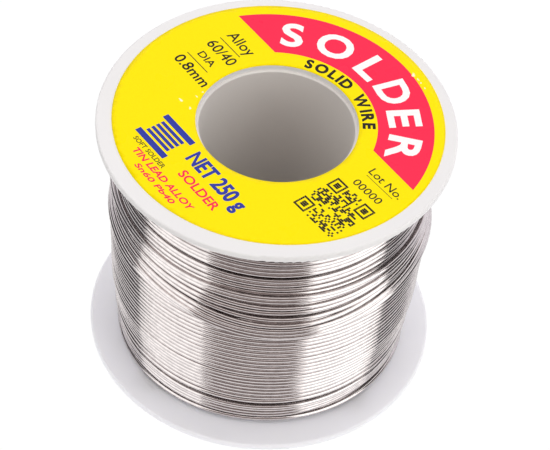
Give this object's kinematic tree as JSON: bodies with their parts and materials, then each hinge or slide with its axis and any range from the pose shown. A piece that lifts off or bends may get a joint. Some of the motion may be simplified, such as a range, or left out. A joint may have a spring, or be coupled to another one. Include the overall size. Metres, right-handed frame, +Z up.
{
  "type": "solder wire reel",
  "caption": "Flanged plastic reel wound with soft solder wire, with a printed round face label and an open bore for a spindle.",
  "frame": {"origin": "centre of the lower flange's outer face, which the reel stands on", "axes": "+Z up along the bore to the labelled face; -Y is the side nearest the camera"},
  "size_m": [0.058, 0.058, 0.0478],
  "materials": {
    "hub_plastic": "satin",
    "flange_plastic": "satin",
    "label_paper": "gloss",
    "solder": "satin"
  },
  "bodies": {
    "root": {"hub": "hub_plastic", "lower_flange": "flange_plastic", "upper_flange": "flange_plastic", "face_label": "label_paper", "wire_winding": "solder", "wire_start_tail": "solder"}
  },
  "joints": []
}
